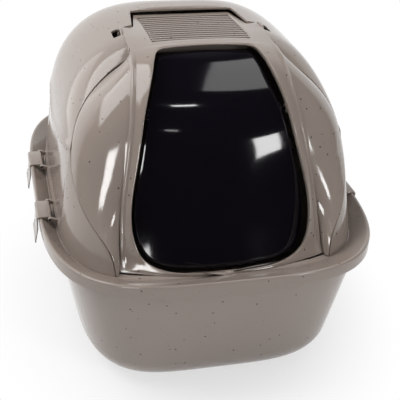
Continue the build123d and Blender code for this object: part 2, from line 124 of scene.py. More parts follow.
def makeTaupe(name, look):
    recipe = Recipe(bpy.data.materials.new(name))
    spot = recipe.node("ShaderNodeTexCoord", out="Object")
    cloud = recipe.node("ShaderNodeTexNoise", Vector=spot, Scale=look["cloudScale"], Detail=3.0)
    wobble = recipe.node("ShaderNodeTexNoise", Vector=spot, Scale=look["wobbleScale"], Detail=1.0)
    wobble = wobble * look["wobble"]
    near = recipe.node("ShaderNodeTexVoronoi", Vector=spot, Scale=look["speckScale"])
    fine = recipe.node("ShaderNodeTexVoronoi", Vector=spot, Scale=look["dustScale"])
    speck = near + wobble < look["speckSize"]
    dust = fine + wobble < look["dustSize"]
    mask = speck * look["speckShare"] + dust * look["dustShare"]
    plain = recipe.mix(cloud, look["base"], look["pale"])
    colour = recipe.mix(mask.math("MINIMUM", look["deepest"]), plain, look["speck"])
    grain = recipe.node("ShaderNodeTexNoise", Vector=spot, Scale=look["grainScale"], Detail=2.0)
    bump = recipe.node("ShaderNodeBump", Height=grain, Distance=look["grainHeight"],
                       Strength=look["grainStrength"])
    shader = recipe.node("ShaderNodeBsdfPrincipled", Base_Color=colour, Normal=bump, IOR=look["ior"],
                         Roughness=cloud * look["roughnessSpread"] + look["roughness"])
    return recipe.finish(shader)


# satin moulding of the small inner pieces
satinPlastic = {
    "base": rgb(118, 108, 99), "darkShare": 0.85, "cloudScale": 30.0,
    "roughness": 0.38, "roughnessSpread": 0.1,
    "grainScale": 900.0, "grainHeight": 0.00004, "grainStrength": 0.5,
}


def makeSatin(name, look):
    recipe = Recipe(bpy.data.materials.new(name))
    spot = recipe.node("ShaderNodeTexCoord", out="Object")
    grain = recipe.node("ShaderNodeTexNoise", Vector=spot, Scale=look["grainScale"], Detail=3.0)
    cloud = recipe.node("ShaderNodeTexNoise", Vector=spot, Scale=look["cloudScale"])
    dark = tuple(c * look["darkShare"] for c in look["base"][:3]) + (1.0,)
    bump = recipe.node("ShaderNodeBump", Height=grain, Distance=look["grainHeight"],
                       Strength=look["grainStrength"])
    shader = recipe.node("ShaderNodeBsdfPrincipled", Normal=bump,
                         Base_Color=recipe.mix(cloud, dark, look["base"]),
                         Roughness=grain * look["roughnessSpread"] + look["roughness"])
    return recipe.finish(shader)


# smoked door, almost black
smokedPlastic = {
    "base": rgb(11, 8, 15), "haze": rgb(15, 12, 19), "hazeScale": 22.0, "ior": 1.46,
    "roughness": 0.04, "roughnessSpread": 0.05, "dustScale": 260.0,
    "rippleScale": 9.0, "rippleHeight": 0.0004, "rippleStrength": 0.12,
}


def makeSmoked(name, look):
    recipe = Recipe(bpy.data.materials.new(name))
    spot = recipe.node("ShaderNodeTexCoord", out="Object")
    haze = recipe.node("ShaderNodeTexNoise", Vector=spot, Scale=look["hazeScale"], Detail=4.0)
    dust = recipe.node("ShaderNodeTexNoise", Vector=spot, Scale=look["dustScale"], Detail=2.0)
    ripple = recipe.node("ShaderNodeTexNoise", Vector=spot, Scale=look["rippleScale"], Detail=1.0)
    bump = recipe.node("ShaderNodeBump", Height=ripple, Distance=look["rippleHeight"],
                       Strength=look["rippleStrength"])
    shader = recipe.node("ShaderNodeBsdfPrincipled", Normal=bump, IOR=look["ior"],
                         Base_Color=recipe.mix(haze, look["base"], look["haze"]),
                         Roughness=dust * look["roughnessSpread"] + look["roughness"])
    return recipe.finish(shader)


# fibrous charcoal pad
charcoalPad = {
    "base": rgb(24, 23, 24), "fibre": rgb(52, 50, 50), "roughness": 0.95,
    "fibreScale": 700.0, "twist": 1.5, "fibreHeight": 0.0006, "fibreStrength": 0.8,
}


def makeCharcoal(name, look):
    recipe = Recipe(bpy.data.materials.new(name))
    spot = recipe.node("ShaderNodeTexCoord", out="Object")
    fibre = recipe.node("ShaderNodeTexNoise", Vector=spot, Scale=look["fibreScale"], Detail=5.0,
                        Distortion=look["twist"])
    bump = recipe.node("ShaderNodeBump", Height=fibre, Distance=look["fibreHeight"],
                       Strength=look["fibreStrength"])
    shader = recipe.node("ShaderNodeBsdfPrincipled", Normal=bump, Roughness=look["roughness"],
                         Base_Color=recipe.mix(fibre, look["base"], look["fibre"]))
    return recipe.finish(shader)


taupe = makeTaupe("specked taupe plastic", taupePlastic)
satin = makeSatin("satin inner plastic", satinPlastic)
smoked = makeSmoked("smoked plastic", smokedPlastic)
charcoal = makeCharcoal("charcoal pad", charcoalPad)
print("materials made")


# curves and grids, in millimetres until a mesh is made

def cubic(xs, ys, at):
    xs, ys, at = np.asarray(xs, float), np.asarray(ys, float), np.asarray(at, float)
    count, step = len(xs), np.diff(xs)
    left, right = np.eye(count), np.zeros(count)
    for i in range(1, count - 1):
        left[i, i - 1:i + 2] = step[i - 1], 2 * (step[i - 1] + step[i]), step[i]
        right[i] = 6 * ((ys[i + 1] - ys[i]) / step[i] - (ys[i] - ys[i - 1]) / step[i - 1])
    bend = np.linalg.solve(left, right)
    k = np.clip(np.searchsorted(xs, at, side="right") - 1, 0, count - 2)
    t = at - xs[k]
    slope = (ys[k + 1] - ys[k]) / step[k] - step[k] * (2 * bend[k] + bend[k + 1]) / 6
    return ys[k] + t * slope + t * t * bend[k] / 2 + t ** 3 * (bend[k + 1] - bend[k]) / (6 * step[k])


def travelled(points):
    return np.concatenate([[0.0], np.cumsum(np.linalg.norm(np.diff(points, axis=0), axis=1))])


def smoothCurve(points, count):
    points = np.array(points, float)
    way = travelled(points)
    at = np.linspace(0, way[-1], count)
    return np.stack([cubic(way, points[:, k], at) for k in range(points.shape[1])], axis=1)


def eased(at, values, where, degree=5):
    # least-squares curve through the values, held at both ends
    weight = np.ones(len(at))
    weight[[0, -1]] = 60
    scale = at[-1]
    return np.polyval(np.polyfit(np.asarray(at) / scale, values, degree, w=weight), np.asarray(where) / scale)


def walk(points, at):
    way = travelled(points)
    return np.stack([np.interp(at, way, points[:, k]) for k in range(points.shape[1])], axis=1)


def unit(v):
    return v / np.maximum(np.linalg.norm(v, axis=-1, keepdims=True), 1e-9)


def ease(t):
    t = np.clip(t, 0, 1)
    return t * t * (3 - 2 * t)


def planRing(half, front, rear, power, count):
    turn = np.linspace(0, 2 * math.pi, count, endpoint=False)
    c, s = np.cos(turn), np.sin(turn)
    size = (np.abs(c) ** power + np.abs(s) ** power) ** (-1 / power)
    return np.stack([half * size * c, np.where(s > 0, rear, front) * size * s], axis=1)


def gridFaces(rows, columns, loop=False, start=0):
    faces = []
    for i in range(rows - 1):
        for j in range(columns if loop else columns - 1):
            k = (j + 1) % columns
            faces.append([start + i * columns + j, start + i * columns + k,
                          start + (i + 1) * columns + k, start + (i + 1) * columns + j])
    return faces


def newPiece(name, points, faces, weld=0.02):
    mesh = bpy.data.meshes.new(name)
    mesh.from_pydata((np.asarray(points, float) * mm).tolist(), [], faces)
    piece = bpy.data.objects.new(name, mesh)
    bpy.context.scene.collection.objects.link(piece)
    if weld:
        shape = bmesh.new()
        shape.from_mesh(mesh)
        bmesh.ops.remove_doubles(shape, verts=shape.verts, dist=weld * mm)
        shape.to_mesh(mesh)
        shape.free()
    return piece


def faceAway(piece, inside):
    mesh = piece.data
    reference = Vector(inside) * mm
    share = sum(p.normal.dot(p.center - reference) * p.area for p in mesh.polygons)
    if share < 0:
        mesh.flip_normals()


def closeUp(piece):
    # all normals outward
    shape = bmesh.new()
    shape.from_mesh(piece.data)
    bmesh.ops.recalc_face_normals(shape, faces=shape.faces)
    shape.to_mesh(piece.data)
    shape.free()


def bake(piece):
    # the mesh with its modifiers worked in
    graph = bpy.context.evaluated_depsgraph_get()
    mesh = bpy.data.meshes.new_from_object(piece.evaluated_get(graph))
    piece.modifiers.clear()
    piece.data = mesh


def smooth(mesh):
    mesh.polygons.foreach_set("use_smooth", [True] * len(mesh.polygons))
    mesh.set_sharp_from_angle(angle=math.radians(40))


def settle(piece, wall=0.0, bevel=0.0, segments=3, angle=32):
    if wall:
        shell = piece.modifiers.new("wall", "SOLIDIFY")
        shell.thickness = wall * mm
        shell.offset = -1
        shell.use_even_offset = True
    if bevel:
        soft = piece.modifiers.new("soft edges", "BEVEL")
        soft.width = bevel * mm
        soft.segments = segments
        soft.limit_method = "ANGLE"
        soft.angle_limit = math.radians(angle)
        soft.harden_normals = False
    if wall or bevel:
        bake(piece)
    smooth(piece.data)
    return piece


def cut(piece, cutter):
    knife = piece.modifiers.new("cut", "BOOLEAN")
    knife.operation = "DIFFERENCE"
    knife.solver = "EXACT"
    knife.object = cutter
    bake(piece)
    bpy.data.objects.remove(cutter)
    return piece


def join(name, pieces):
    points, faces, start = [], [], 0
    for piece in pieces:
        points += [v.co[:] for v in piece.data.vertices]
        faces += [[start + i for i in p.vertices] for p in piece.data.polygons]
        start = len(points)
    mesh = bpy.data.meshes.new(name)
    mesh.from_pydata(points, [], faces)
    whole = bpy.data.objects.new(name, mesh)
    bpy.context.scene.collection.objects.link(whole)
    for piece in pieces:
        bpy.data.objects.remove(piece)
    smooth(mesh)
    return whole


def paint(piece, material):
    piece.data.materials.clear()
    piece.data.materials.append(material)


def place(piece, body, material, node):
    # every placed piece stands in for one CAD node
    paint(piece, material)
    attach(piece, body)
    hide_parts(node)


def prism(name, outline, low, high, axis="y"):
    # outline is (y, z) for a prism along x, (x, z) along y and (x, y) along z
    at = "xyz".index(axis)
    count = len(outline)
    points = [(*pair[:at], end, *pair[at:]) for end in (low, high) for pair in outline]
    faces = [list(range(count)), list(range(2 * count - 1, count - 1, -1))]
    faces += [[i, (i + 1) % count, count + (i + 1) % count, count + i] for i in range(count)]
    piece = newPiece(name, points, faces)
    closeUp(piece)
    return piece


def turned(profile, y, z, count):
    # profile is (x, radius), turned about a line along x
    turns = [2 * math.pi * k / count for k in range(count)]
    return [(x, y + radius * math.cos(a), z + radius * math.sin(a)) for x, radius in profile for a in turns]


def lathe(name, profile, y, z, count=40):
    piece = newPiece(name, turned(profile, y, z, count), gridFaces(len(profile), count, True))
    closeUp(piece)
    return piece


def tube(name, x0, x1, y, z, outer, inner, soft=0.6, count=40):
    # closed ring section turned about a line along x
    inward = math.copysign(soft, x1 - x0)
    profile = [(x0, inner), (x0, outer - soft), (x0 + inward, outer), (x1 - inward, outer),
               (x1, outer - soft), (x1, inner), (x0, inner)]
    piece = newPiece(name, turned(profile, y, z, count), gridFaces(len(profile), count, True))
    closeUp(piece)
    return piece


# litter pan: deep tub, sloping rim, shallow skirt with a wave lip in front
panLook = {
    "half": 247.0, "length": 321.0, "rimPower": 3.7, "tubPower": 4.35, "rimTop": 218.0,
    "skirt": 18.0, "lip": 11.0, "lipFlat": 75.0, "lipReach": 108.0, "rimRound": 2.4,
    "inset": 21.0, "lean": 11.0, "corner": 68.0, "wall": 3.0, "seat": 200.0,
    # the rib inside the hood's foot: how far in it lies, how high it stands, where it ends in front
    "ribInner": 8.0, "ribOuter": 5.6, "ribHeight": 6.0, "ribLow": 0.15, "ribFront": -148.0,
    # the rim's slope from its foot outside the hood to the head by the rim, and its underside
    "slopeFoot": -1.0, "slopeHead": 4.2, "slopeDrop": 0.4, "crest": 3.2, "underRim": 3.6, "underRise": 18.0,
    "around": 440, "cornerSteps": 15, "roundSteps": 6,
}
# half width, front and rear of the hood where it stands on the pan
hoodBase = (223.0, 274.0, 276.0)
hoodPower = 4.0


def makePan(look):
    count, seat, rimTop, wall = look["around"], look["seat"], look["rimTop"], look["wall"]
    lean = math.radians(look["lean"])
    foot = look["corner"] * (1 - math.sin(lean))
    centre = look["inset"] + math.tan(lean) * (seat - foot) + look["corner"] * math.cos(lean)

    def ring(shrink, power=look["rimPower"]):
        return planRing(look["half"] - shrink, look["length"] - shrink, look["length"] - shrink, power, count)

    def seatRing(inset):
        return planRing(*(reach - inset for reach in hoodBase), hoodPower, count)

    def level(plan, z):
        return np.column_stack([plan, np.broadcast_to(z, count)])

    def tubRows(inset, lift, top):
        rows = []
        for k in np.linspace(math.pi / 2, lean, look["cornerSteps"]):
            shrink = centre + inset - look["corner"] * math.cos(k)
            rows.append(level(ring(shrink, look["tubPower"]), look["corner"] * (1 - math.sin(k)) + lift))
        wallFoot = rows[-1][0, 2]
        for share in (0.25, 0.5, 0.75, 1.0):
            z = wallFoot + share * (top - wallFoot)
            shrink = look["inset"] + inset + math.tan(lean) * (seat - z + lift)
            rows.append(level(ring(shrink, look["tubPower"]), z))
        return rows

    inner = tubRows(wall, wall, seat - wall)
    outer = tubRows(0.0, 0.0, seat - wall - 1)
    floorInner = [inner[0] * [s, s, 1] for s in (0.001, 0.35, 0.7)]
    floorOuter = [outer[0] * [s, s, 1] for s in (0.7, 0.35, 0.001)]

    rim = ring(0.0)
    share = ease((look["lipReach"] - np.abs(rim[:, 0])) / (look["lipReach"] - look["lipFlat"]))
    skirt = rimTop - look["skirt"] - look["lip"] * share * (rim[:, 1] < 0)
    rimInner, ribInner, ribOuter = ring(wall), seatRing(look["ribInner"]), seatRing(look["ribOuter"])
    ribTop = seat + np.where(ribInner[:, 1] > look["ribFront"], look["ribHeight"], look["ribLow"])
    slopeRing = seatRing(look["slopeFoot"])
    rows = floorInner + inner
    rows += [level(ribInner, seat - wall), level(ribInner, ribTop), level(ribOuter, ribTop), level(ribOuter, seat)]
    slopeFoot, slopeHead = level(slopeRing, seat), level(ring(look["slopeHead"]), rimTop - look["slopeDrop"])
    rows += [slopeFoot + (slopeHead - slopeFoot) * t for t in (0.0, 0.04, 0.3, 0.6, 0.94, 1.0)]
    rows.append(level(ring(look["crest"]), rimTop))
    r = look["rimRound"]
    for a in np.linspace(math.pi / 2, 0, look["roundSteps"]):
        rows.append(level(ring(r - r * math.cos(a)), rimTop - r + r * math.sin(a)))
    for t in (0.25, 0.5, 0.75, 1.0):
        rows.append(level(rim, rimTop - r + t * (skirt - rimTop + r)))
    rows += [level(rimInner, skirt), level(rimInner, rimTop - look["underRim"])]
    top = ring(look["inset"] - 0.7, look["tubPower"])
    reach = np.linalg.norm(top, axis=1) - np.linalg.norm(slopeRing, axis=1)
    span = np.linalg.norm(rimInner, axis=1) - np.linalg.norm(slopeRing, axis=1)
    rows.append(level(top, seat - wall + look["underRise"] * reach / span))
    rows += outer[::-1] + floorOuter
    pan = newPiece("litterPan", np.concatenate(rows), gridFaces(len(rows), count, True))
    closeUp(pan)
    return settle(pan, bevel=0.7, segments=2)


place(makePan(panLook), "base", taupe, "litter_pan")
print("pan made")


# hood: rounded dome cut away in front for the lid and on top for the vent tongue
hoodLook = {
    "wall": 3.0, "power": hoodPower, "seat": 200.0, "gap": 1.2,
    # height above the seat, half width, front and rear
    "levels": [
        (0.0, 223.0, 274.0, 276.0), (31.0, 219.5, 267.0, 275.0), (59.0, 217.0, 259.0, 273.0),
        (85.0, 214.0, 249.0, 270.0), (121.0, 209.5, 235.0, 263.0), (154.0, 203.5, 204.0, 253.0),
        (171.0, 199.0, 184.0, 246.0), (184.0, 194.0, 163.0, 240.0), (203.0, 183.0, 127.0, 228.0),
        (230.0, 160.0, 92.0, 206.0), (245.0, 140.0, 76.0, 186.0), (257.0, 118.0, 60.0, 160.0),
        (266.0, 85.0, 40.0, 122.0),
    ],
    # seam towards the lid as (y, z), below and above its bend
    "seamLow": [(-259.0, 194.0), (-246.0, 231.0), (-201.0, 276.0), (-151.0, 320.0)],
    "seamHigh": [(-151.0, 320.0), (-124.0, 368.0), (-98.0, 402.0), (-70.0, 446.0)],
    # cut in the roof for lid and tongue, and how its corners are shared out along the top row
    "cutHalf": 105.3, "cutFront": -69.4, "cutStep": 10.5, "tongueHalf": 88.5, "tongueRear": 78.0,
    "edgeShares": (0, 0.42, 0.5, 0.8, 1.0),
    "wallTop": 443.0, "roofStart": 436.0, "roofEnd": 466.0, "capRise": 1.6,
    "columns": 170, "wallRows": 62, "roofRows": 30,
    # shoulder line along the side as (y, z), and how deep the panel under it lies
    "shoulder": [(-152.0, 338.0), (-111.0, 333.0), (-63.0, 325.0), (-16.0, 318.0), (33.0, 315.0),
                 (62.0, 321.0), (93.0, 330.0), (160.0, 334.0)],
    "panelDepth": 3.4, "panelFront": -138.0, "panelRear": 170.0, "panelFoot": 214.0,
    # how far each of its edges is blended, in front, behind, above and below, and the swell along the shoulder
    "panelBlend": (9.0, 30.0, 5.0, 7.0),
    "swell": 1.7, "swellRise": 4.0, "swellWidth": 5.0, "swellBlend": (20.0, 60.0),
    "pocketX": (108.8, 119.8), "pocketY": (-19.0, 11.0), "pocketZ": (430.0, 480.0), "pocketRound": 3.0,
    "middle": (0, 0, 250),
}
seam = np.concatenate([smoothCurve(hoodLook["seamLow"], 80), smoothCurve(hoodLook["seamHigh"], 80)[1:]])
levels = np.array(hoodLook["levels"])


def domeCurve(column, degree=6, count=1200):
    pair = levels[:, [0, column]]
    way = travelled(pair)
    at = np.linspace(0, way[-1], count)
    return [eased(way, pair[:, k], at, degree) for k in (0, 1)]


domeCurves = {column: domeCurve(column) for column in (1, 2, 3)}


def domeAt(z, column):
    # column 1 is the half width, 2 the front and 3 the rear
    return np.interp(np.asarray(z) - hoodLook["seat"], *domeCurves[column])


def seamAt(z):
    return np.interp(z, seam[:, 1], seam[:, 0])


def domeHeight(plan):
    look, power = hoodLook, hoodLook["power"]
    steps = np.linspace(look["roofStart"], look["roofEnd"], 121)
    half, front, rear = (domeAt(steps, k) for k in (1, 2, 3))
    x, y = np.abs(plan[:, :1]), plan[:, 1:]
    reach = (x / half) ** power + (np.abs(y) / np.where(y > 0, rear, front)) ** power
    height = np.array([np.interp(1.0, row, steps) for row in reach])
    capHalf, capFront, capRear = look["levels"][-1][1:]
    inCap = (x[:, 0] / capHalf) ** power + (np.abs(y[:, 0]) / np.where(y[:, 0] > 0, capRear, capFront)) ** power
    cap = look["roofEnd"] + look["capRise"] * (1 - np.clip(inCap, 0, 1))
    return np.where(reach[:, -1] < 1, cap, height)


def makeHood(look):
    count, power, rows = look["columns"], look["power"], []
    for z in np.concatenate([[look["seat"]], np.linspace(look["seat"] + 3, look["wallTop"], look["wallRows"])]):
        half, front, rear = (float(domeAt(z, k)) for k in (1, 2, 3))
        y = seamAt(z) + look["gap"] / 2
        x = half * (1 - (abs(y) / front) ** power) ** (1 / power)
        turn = np.linspace(math.atan2(y / front, x / half), math.pi / 2, count)
        c, s = np.cos(turn), np.sin(turn)
        size = (np.abs(c) ** power + np.abs(s) ** power) ** (-1 / power)
        rows.append(np.column_stack([half * size * c, np.where(s > 0, rear, front) * size * s,
                                     np.full(count, z)]))
    # the roof runs in from the top row to the edge of the cut for lid and tongue
    top = rows[-1][:, :2]
    cutHalf, step, tongue, rear = look["cutHalf"], look["cutStep"], look["tongueHalf"], look["tongueRear"]
    edge = np.array([(cutHalf, look["cutFront"]), (cutHalf, step - 2), (cutHalf - 2, step), (tongue + 2, step),
                     (tongue, step + 2), (rear + 3, rear - 2), (rear, rear), (0.0, rear)])
    way = travelled(edge)
    at = np.interp(np.linspace(0, 1, count), look["edgeShares"], way[[0, 1, 4, 6, 7]])
    edge = walk(edge, at)
    for t in np.linspace(0, 1, look["roofRows"])[1:]:
        plan = top + (edge - top) * t
        rows.append(np.column_stack([plan, domeHeight(plan)]))
    half = np.stack(rows)
    half[:, -1, 0] = 0
    # the side panel lies a little deeper than the corner columns and the shoulder above it
    y, z = half[..., 1], half[..., 2]
    line = np.array(look["shoulder"])
    shoulder = cubic(line[:, 0], line[:, 1], np.clip(y, line[0, 0], line[-1, 0]))
    front, rear, top, foot = look["panelBlend"]
    sunk = ease((y - look["panelFront"]) / front) * ease((look["panelRear"] - y) / rear)
    sunk = sunk * ease((shoulder - z) / top) * ease((z - look["panelFoot"]) / foot)
    swell = np.exp(-((z - shoulder - look["swellRise"]) / look["swellWidth"]) ** 2)
    front, rear = look["swellBlend"]
    swell *= ease((y - line[0, 0]) / front) * ease((look["panelRear"] - y) / rear)
    half[..., 0] -= look["panelDepth"] * sunk - look["swell"] * swell
    grid = np.concatenate([half, half[:, -2::-1] * [-1, 1, 1]], axis=1)
    hood = newPiece("hood", grid.reshape(-1, 3), gridFaces(*grid.shape[:2]), weld=0)
    faceAway(hood, look["middle"])
    hood = settle(hood, wall=look["wall"])
    (x0, x1), (y0, y1) = look["pocketX"], look["pocketY"]
    for side in (1, -1):
        outline = [(side * x, y) for x, y in ((x0, y0), (x1, y0), (x1, y1), (x0, y1))]
        cutter = prism("pocketCutter", outline, *look["pocketZ"], "z")
        corners = cutter.modifiers.new("corners", "BEVEL")
        corners.width, corners.segments, corners.affect = look["pocketRound"] * mm, 4, "EDGES"
        hood = cut(hood, cutter)
    return settle(hood, bevel=0.8, segments=2)


# raised lip on the hood behind the tongue, and the tabs that carry the lid's pins
lipLook = {"half": 74.0, "y": 84.0, "depth": 6.0, "z": 464.6, "low": 1.0, "rise": 4.2, "wall": 1.0}
tabLook = {
    "inner": 105.3, "outer": 108.8,
    "side": [(12.0, 441.0), (-20.0, 441.0), (-20.0, 459.5), (-15.0, 463.6), (-6.0, 465.2), (3.0, 465.4),
             (12.0, 464.0)],
}


def makeLip(look, columns=61, count=13):
    xs = np.linspace(-look["half"], look["half"], columns)
    high = look["low"] + look["rise"] * (1 - (xs / (look["half"] + 1)) ** 4)
    rows = [np.column_stack([xs, np.full(columns, look["y"] - look["depth"] * math.cos(a)),
                             look["z"] + high * math.sin(a)]) for a in np.linspace(0, math.pi, count)]
    piece = newPiece("hoodLip", np.concatenate(rows), gridFaces(count, columns))
    faceAway(piece, (0, look["y"], 440))
    return settle(piece, wall=look["wall"])


def hingeTab(side, look):
    low, high = sorted((side * look["inner"], side * look["outer"]))
    return settle(prism("tab", look["side"], low, high, "x"), bevel=1.1)


# rim clips and the lugs that carry them
clipLook = {
    "y": 87.0, "half": 25.0, "pivotX": 230.0, "pivotZ": 217.0, "barrel": 2.9,
    "wall": 2.0, "gap": 0.4, "drop": 44.0, "flare": 4.0, "footShare": 0.8,
    "lugWidth": 5.0, "lugGap": 0.6, "lugDepth": 12.5,
}


def lug(side, y, look):
    x, z, r = look["pivotX"], look["pivotZ"], look["barrel"]
    back = side * (x - look["lugDepth"])
    outline = [(back, z - r - 4), (back, z - 1), (side * (x - 2), z + r)]
    outline += [(side * (x + r * math.sin(a)), z + r * math.cos(a)) for a in np.linspace(0, math.pi, 13)]
    piece = prism("lug", outline, y - look["lugWidth"] / 2, y + look["lugWidth"] / 2)
    return settle(piece, bevel=0.5, angle=50)


def makeClip(side, end, look):
    x0, z0, r = look["pivotX"], look["pivotZ"], look["barrel"]
    edge = panLook["half"] + look["gap"]
    outer = edge + look["wall"]
    over = panLook["rimTop"] + look["gap"]
    knee = panLook["rimTop"] - panLook["skirt"]
    foot = panLook["rimTop"] - look["drop"]
    wall, splay = look["wall"], outer + look["flare"]
    turns = np.linspace(math.pi * 0.9, math.pi * 1.95, 11)
    outline = [(x0 + r * math.sin(a), z0 + r * math.cos(a)) for a in turns]
    # over the rim, down the outside to the splayed foot, and back up the inside
    outline += [(outer - 3.6, over + wall - 0.1), (outer - 1.7, over + wall - 0.7), (outer - 0.5, over + wall - 2.0),
                (outer, over + wall - 4.2), (outer, knee), (outer + look["flare"] * 0.3, knee - 10),
                (splay, foot + 7), (splay, foot), (splay - wall, foot), (splay - wall, foot + 7), (edge, knee),
                (edge, over - 2.5), (edge - 2.5, over)]
    y = end * look["y"]
    name = "clip" + ("Front" if end < 0 else "Rear") + ("Right" if side > 0 else "Left")
    piece = prism(name, [(side * a, b) for a, b in outline], y - look["half"], y + look["half"])
    for vertex in piece.data.vertices:
        if vertex.co.z < (foot + 1) * mm:
            vertex.co.y = (y + (vertex.co.y / mm - y) * look["footShare"]) * mm
    return settle(piece, bevel=0.6, angle=35)


hoodParts = [makeHood(hoodLook), makeLip(lipLook), hingeTab(1, tabLook), hingeTab(-1, tabLook)]
lugOffset = clipLook["half"] + clipLook["lugGap"] + clipLook["lugWidth"] / 2
for side in (1, -1):
    for end in (1, -1):
        for edge in (-1, 1):
            hoodParts.append(lug(side, end * clipLook["y"] + edge * lugOffset, clipLook))
place(join("hoodShell", hoodParts), "base", taupe, "hood")
print("hood made")

for side in (1, -1):
    for end in (1, -1):
        node = "clip_" + ("front" if end < 0 else "rear") + ("_right" if side > 0 else "_left")
        place(makeClip(side, end, clipLook), node, taupe, node)
print("clips made")


# front lid: frame round the door opening, ridge bead, quarter panels and the vented roof
lidLook = {
    "wall": 2.5, "lipDepth": 10.0, "lipRound": 2.6, "crown": 0.6,
    # ridge bead, and the shares of the ridge over which it comes and goes, and where it ends
    "bead": 3.0, "beadWidth": 9.0, "beadFade": (0.16, 0.1, 0.99),
    "origin": (0.0, -185.0, 333.0), "normal": (0.0, -0.865, 0.5),
    # ridge point and opening point at each station down the side
    "stations": [
        ((105.0, -76.0, 460.2), (77.0, -80.0, 466.2)), ((109.0, -106.0, 453.0), (77.0, -112.0, 462.0)),
        ((114.0, -134.0, 437.0), (86.0, -146.0, 441.5)), ((118.0, -156.0, 413.0), (96.0, -170.0, 418.0)),
        ((121.5, -174.0, 384.0), (105.0, -188.0, 387.0)), ((128.0, -190.0, 349.0), (114.0, -202.0, 351.0)),
        ((134.0, -201.0, 316.0), (121.0, -213.0, 317.0)), ((140.0, -215.0, 266.0), (127.0, -231.0, 268.0)),
        ((143.5, -225.0, 241.0), (124.0, -241.0, 243.0)), ((146.0, -237.0, 219.0), (112.0, -251.0, 221.0)),
        ((148.0, -247.0, 201.4), (96.0, -262.0, 203.5)),
    ],
    "seamHeights": [446.0, 441.0, 428.0, 406.0, 380.0, 347.0, 315.0, 266.0, 241.0, 219.0, 201.4],
    "bulge": 0.17,
    "sillFront": 277.0, "sillSide": 247.0, "sillHalf": 148.0, "foot": 201.2,
    # how far the sill's face stands off the leaning plane, and where it takes over from the sides
    "sillFace": (37.7, 0.144, 30.0, 1.071), "sillBlend": (-112.0, 34.0),
    # opening in the leaning plane: a shallow arc on top, then points down the right side to the middle
    "arcHalf": 62.0, "arcTop": 162.0, "arcDrop": 3.2,
    "opening": [(62, 158.8), (70.5, 154.5), (75.5, 146), (81, 129), (88.5, 104), (99.5, 66), (113, 3),
                (126.5, -65), (125, -104), (114, -131), (92, -146.5), (50, -155), (0, -157.5)],
    "openingSpread": 6.0, "openingSteps": 1440,
    # across the roof as (x, drop), and along the roof with the vent and the step by the hinge
    "topX": [0, 12, 24, 36, 48, 60, 72.5, 79, 86.5, 92, 98, 102],
    "edgeDrop": [(105.0, 0.0), (105.8, 0.8), (106.0, 2.4), (105.6, 8.0), (105.2, 15.0)],
    "roofFront": -76.0,
    "roof": [(-122.0, 459.5), (-100.0, 464.5), (-72.0, 467.0), (0.0, 463.4), (76.0, 459.6)],
    "roofEdge": [(-76.0, 460.2), (-40.0, 463.0), (0.0, 463.0), (80.0, 459.4)],
    "roofSide": 105.0, "hingeStep": 9.0, "tongue": (86.5, 76.0), "tongueRear": 76.0,
    "ventHalf": 72.5, "ventFront": -69.9, "ventRear": 61.9,
}
openOrigin = np.array(lidLook["origin"])
openNormal = unit(np.array(lidLook["normal"]))
openUp = np.cross(openNormal, across)
# added to the points that a search for the nearest one has to leave out
far = 1e3


def onOpening(x, v, w):
    x, v, w = np.broadcast_arrays(x, v, w)
    return openOrigin + x[..., None] * across + v[..., None] * openUp + w[..., None] * openNormal


def roofHeight(x, y):
    roof, side = np.array(lidLook["roof"]), np.array(lidLook["roofEdge"])
    middle, low = cubic(roof[:, 0], roof[:, 1], y), np.interp(y, side[:, 0], side[:, 1])
    return middle + (low - middle) * np.clip(np.abs(x) / lidLook["roofSide"], 0, 1) ** 3


def openingOutline():
    # right half of the rounded opening in the leaning plane, from top centre to bottom centre
    look = lidLook
    reach, blur = look["arcHalf"], 40
    arc = [(x, look["arcTop"] - look["arcDrop"] * (x / reach) ** 2) for x in np.linspace(-reach, reach, 60)]
    sides = look["opening"] + [(-x, v) for x, v in look["opening"][-2::-1]]
    closed = np.concatenate([np.array(arc), smoothCurve(sides, 500)[1:]])
    even = walk(closed, np.linspace(0, travelled(closed)[-1], look["openingSteps"] + 1))[:-1]
    spread = np.exp(-0.5 * (np.arange(-blur, blur + 1) / look["openingSpread"]) ** 2)
    spread /= spread.sum()
    padded = np.concatenate([even[-blur:], even, even[:blur]])
    soft = np.stack([np.convolve(padded[:, k], spread, "valid") for k in (0, 1)], axis=1)
    start = np.argmin(np.abs(soft[:, 0]) + (soft[:, 1] < 0) * far)
    soft = np.roll(soft, -start, axis=0)
    end = np.argmin(np.abs(soft[:, 0]) + (soft[:, 1] > 0) * far)
    half = soft[:end + 1]
    half[0, 0] = half[-1, 0] = 0
    return half


def bandHeight(x, v):
    # how far the frame's face stands off the leaning plane
    table = []
    for ridge, edge in lidLook["stations"]:
        q = np.array(edge) - openOrigin
        table.append((q @ openUp, q @ openNormal))
    table = np.array(sorted(table))
    side = eased(table[:, 0], table[:, 1], np.clip(v, table[0, 0], table[-1, 0]), 6)
    q = (np.clip(np.abs(x), 0, lidLook["sillHalf"]) / lidLook["sillHalf"]) ** 2
    base, slope, bow, lean = lidLook["sillFace"]
    sill = (base + slope * v - bow * q) / lean
    top, blend = lidLook["sillBlend"]
    return side + (sill - side) * ease((top - v) / blend)


def seamPoint(z):
    y = seamAt(z) - hoodLook["gap"] / 2
    half, front = domeAt(z, 1), domeAt(z, 2)
    x = half * np.clip(1 - (np.abs(y) / front) ** 4, 0, 1) ** 0.25
    return np.stack([x, y, z], axis=-1)


